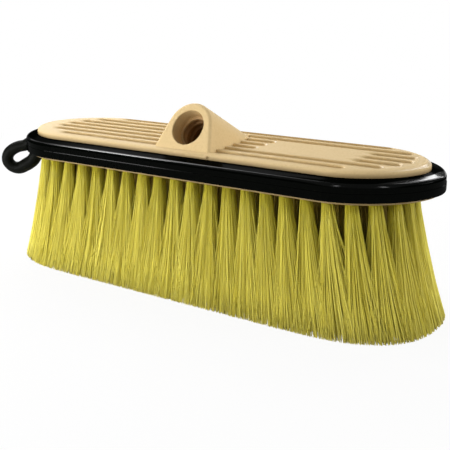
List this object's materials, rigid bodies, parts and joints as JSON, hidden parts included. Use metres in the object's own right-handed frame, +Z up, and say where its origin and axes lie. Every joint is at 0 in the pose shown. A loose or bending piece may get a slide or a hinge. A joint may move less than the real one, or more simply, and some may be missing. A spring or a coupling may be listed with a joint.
{
  "type": "wash brush",
  "caption": "Long oval wash brush head: plastic block with a tilted threaded handle socket, rubber bumper, hang loop and splayed flagged bristle tufts.",
  "frame": {"origin": "centre of the block in plan, at the height of the bristle tips", "axes": "+X along the block, away from the hang loop; +Z up from the bristle tips to the handle socket; -Y is the side that the handle leaves on, rising 30 degrees"},
  "size_m": [0.2857, 0.0872, 0.1038],
  "materials": {
    "tan_plastic": "fine grained",
    "black_rubber": "glossy",
    "loop_rubber": "satin",
    "bristle_fibre": "split fibre ends",
    "anchor_steel": "drawn wire"
  },
  "bodies": {
    "root": {"block": "tan_plastic", "bumper": "black_rubber", "hang_loop": "loop_rubber", "bristles_edge_row": "bristle_fibre", "bristles_second_row": "bristle_fibre", "bristles_third_row": "bristle_fibre", "bristles_middle_row": "bristle_fibre", "anchor_wire_edge_row_front": "anchor_steel", "anchor_wire_edge_row_right_end": "anchor_steel", "anchor_wire_edge_row_back": "anchor_steel", "anchor_wire_edge_row_left_end": "anchor_steel", "anchor_wire_second_row_front": "anchor_steel", "anchor_wire_second_row_right_end": "anchor_steel", "anchor_wire_second_row_back": "anchor_steel", "anchor_wire_second_row_left_end": "anchor_steel", "anchor_wire_third_row_front": "anchor_steel", "anchor_wire_third_row_back": "anchor_steel", "anchor_wire_middle_row": "anchor_steel"}
  },
  "joints": []
}
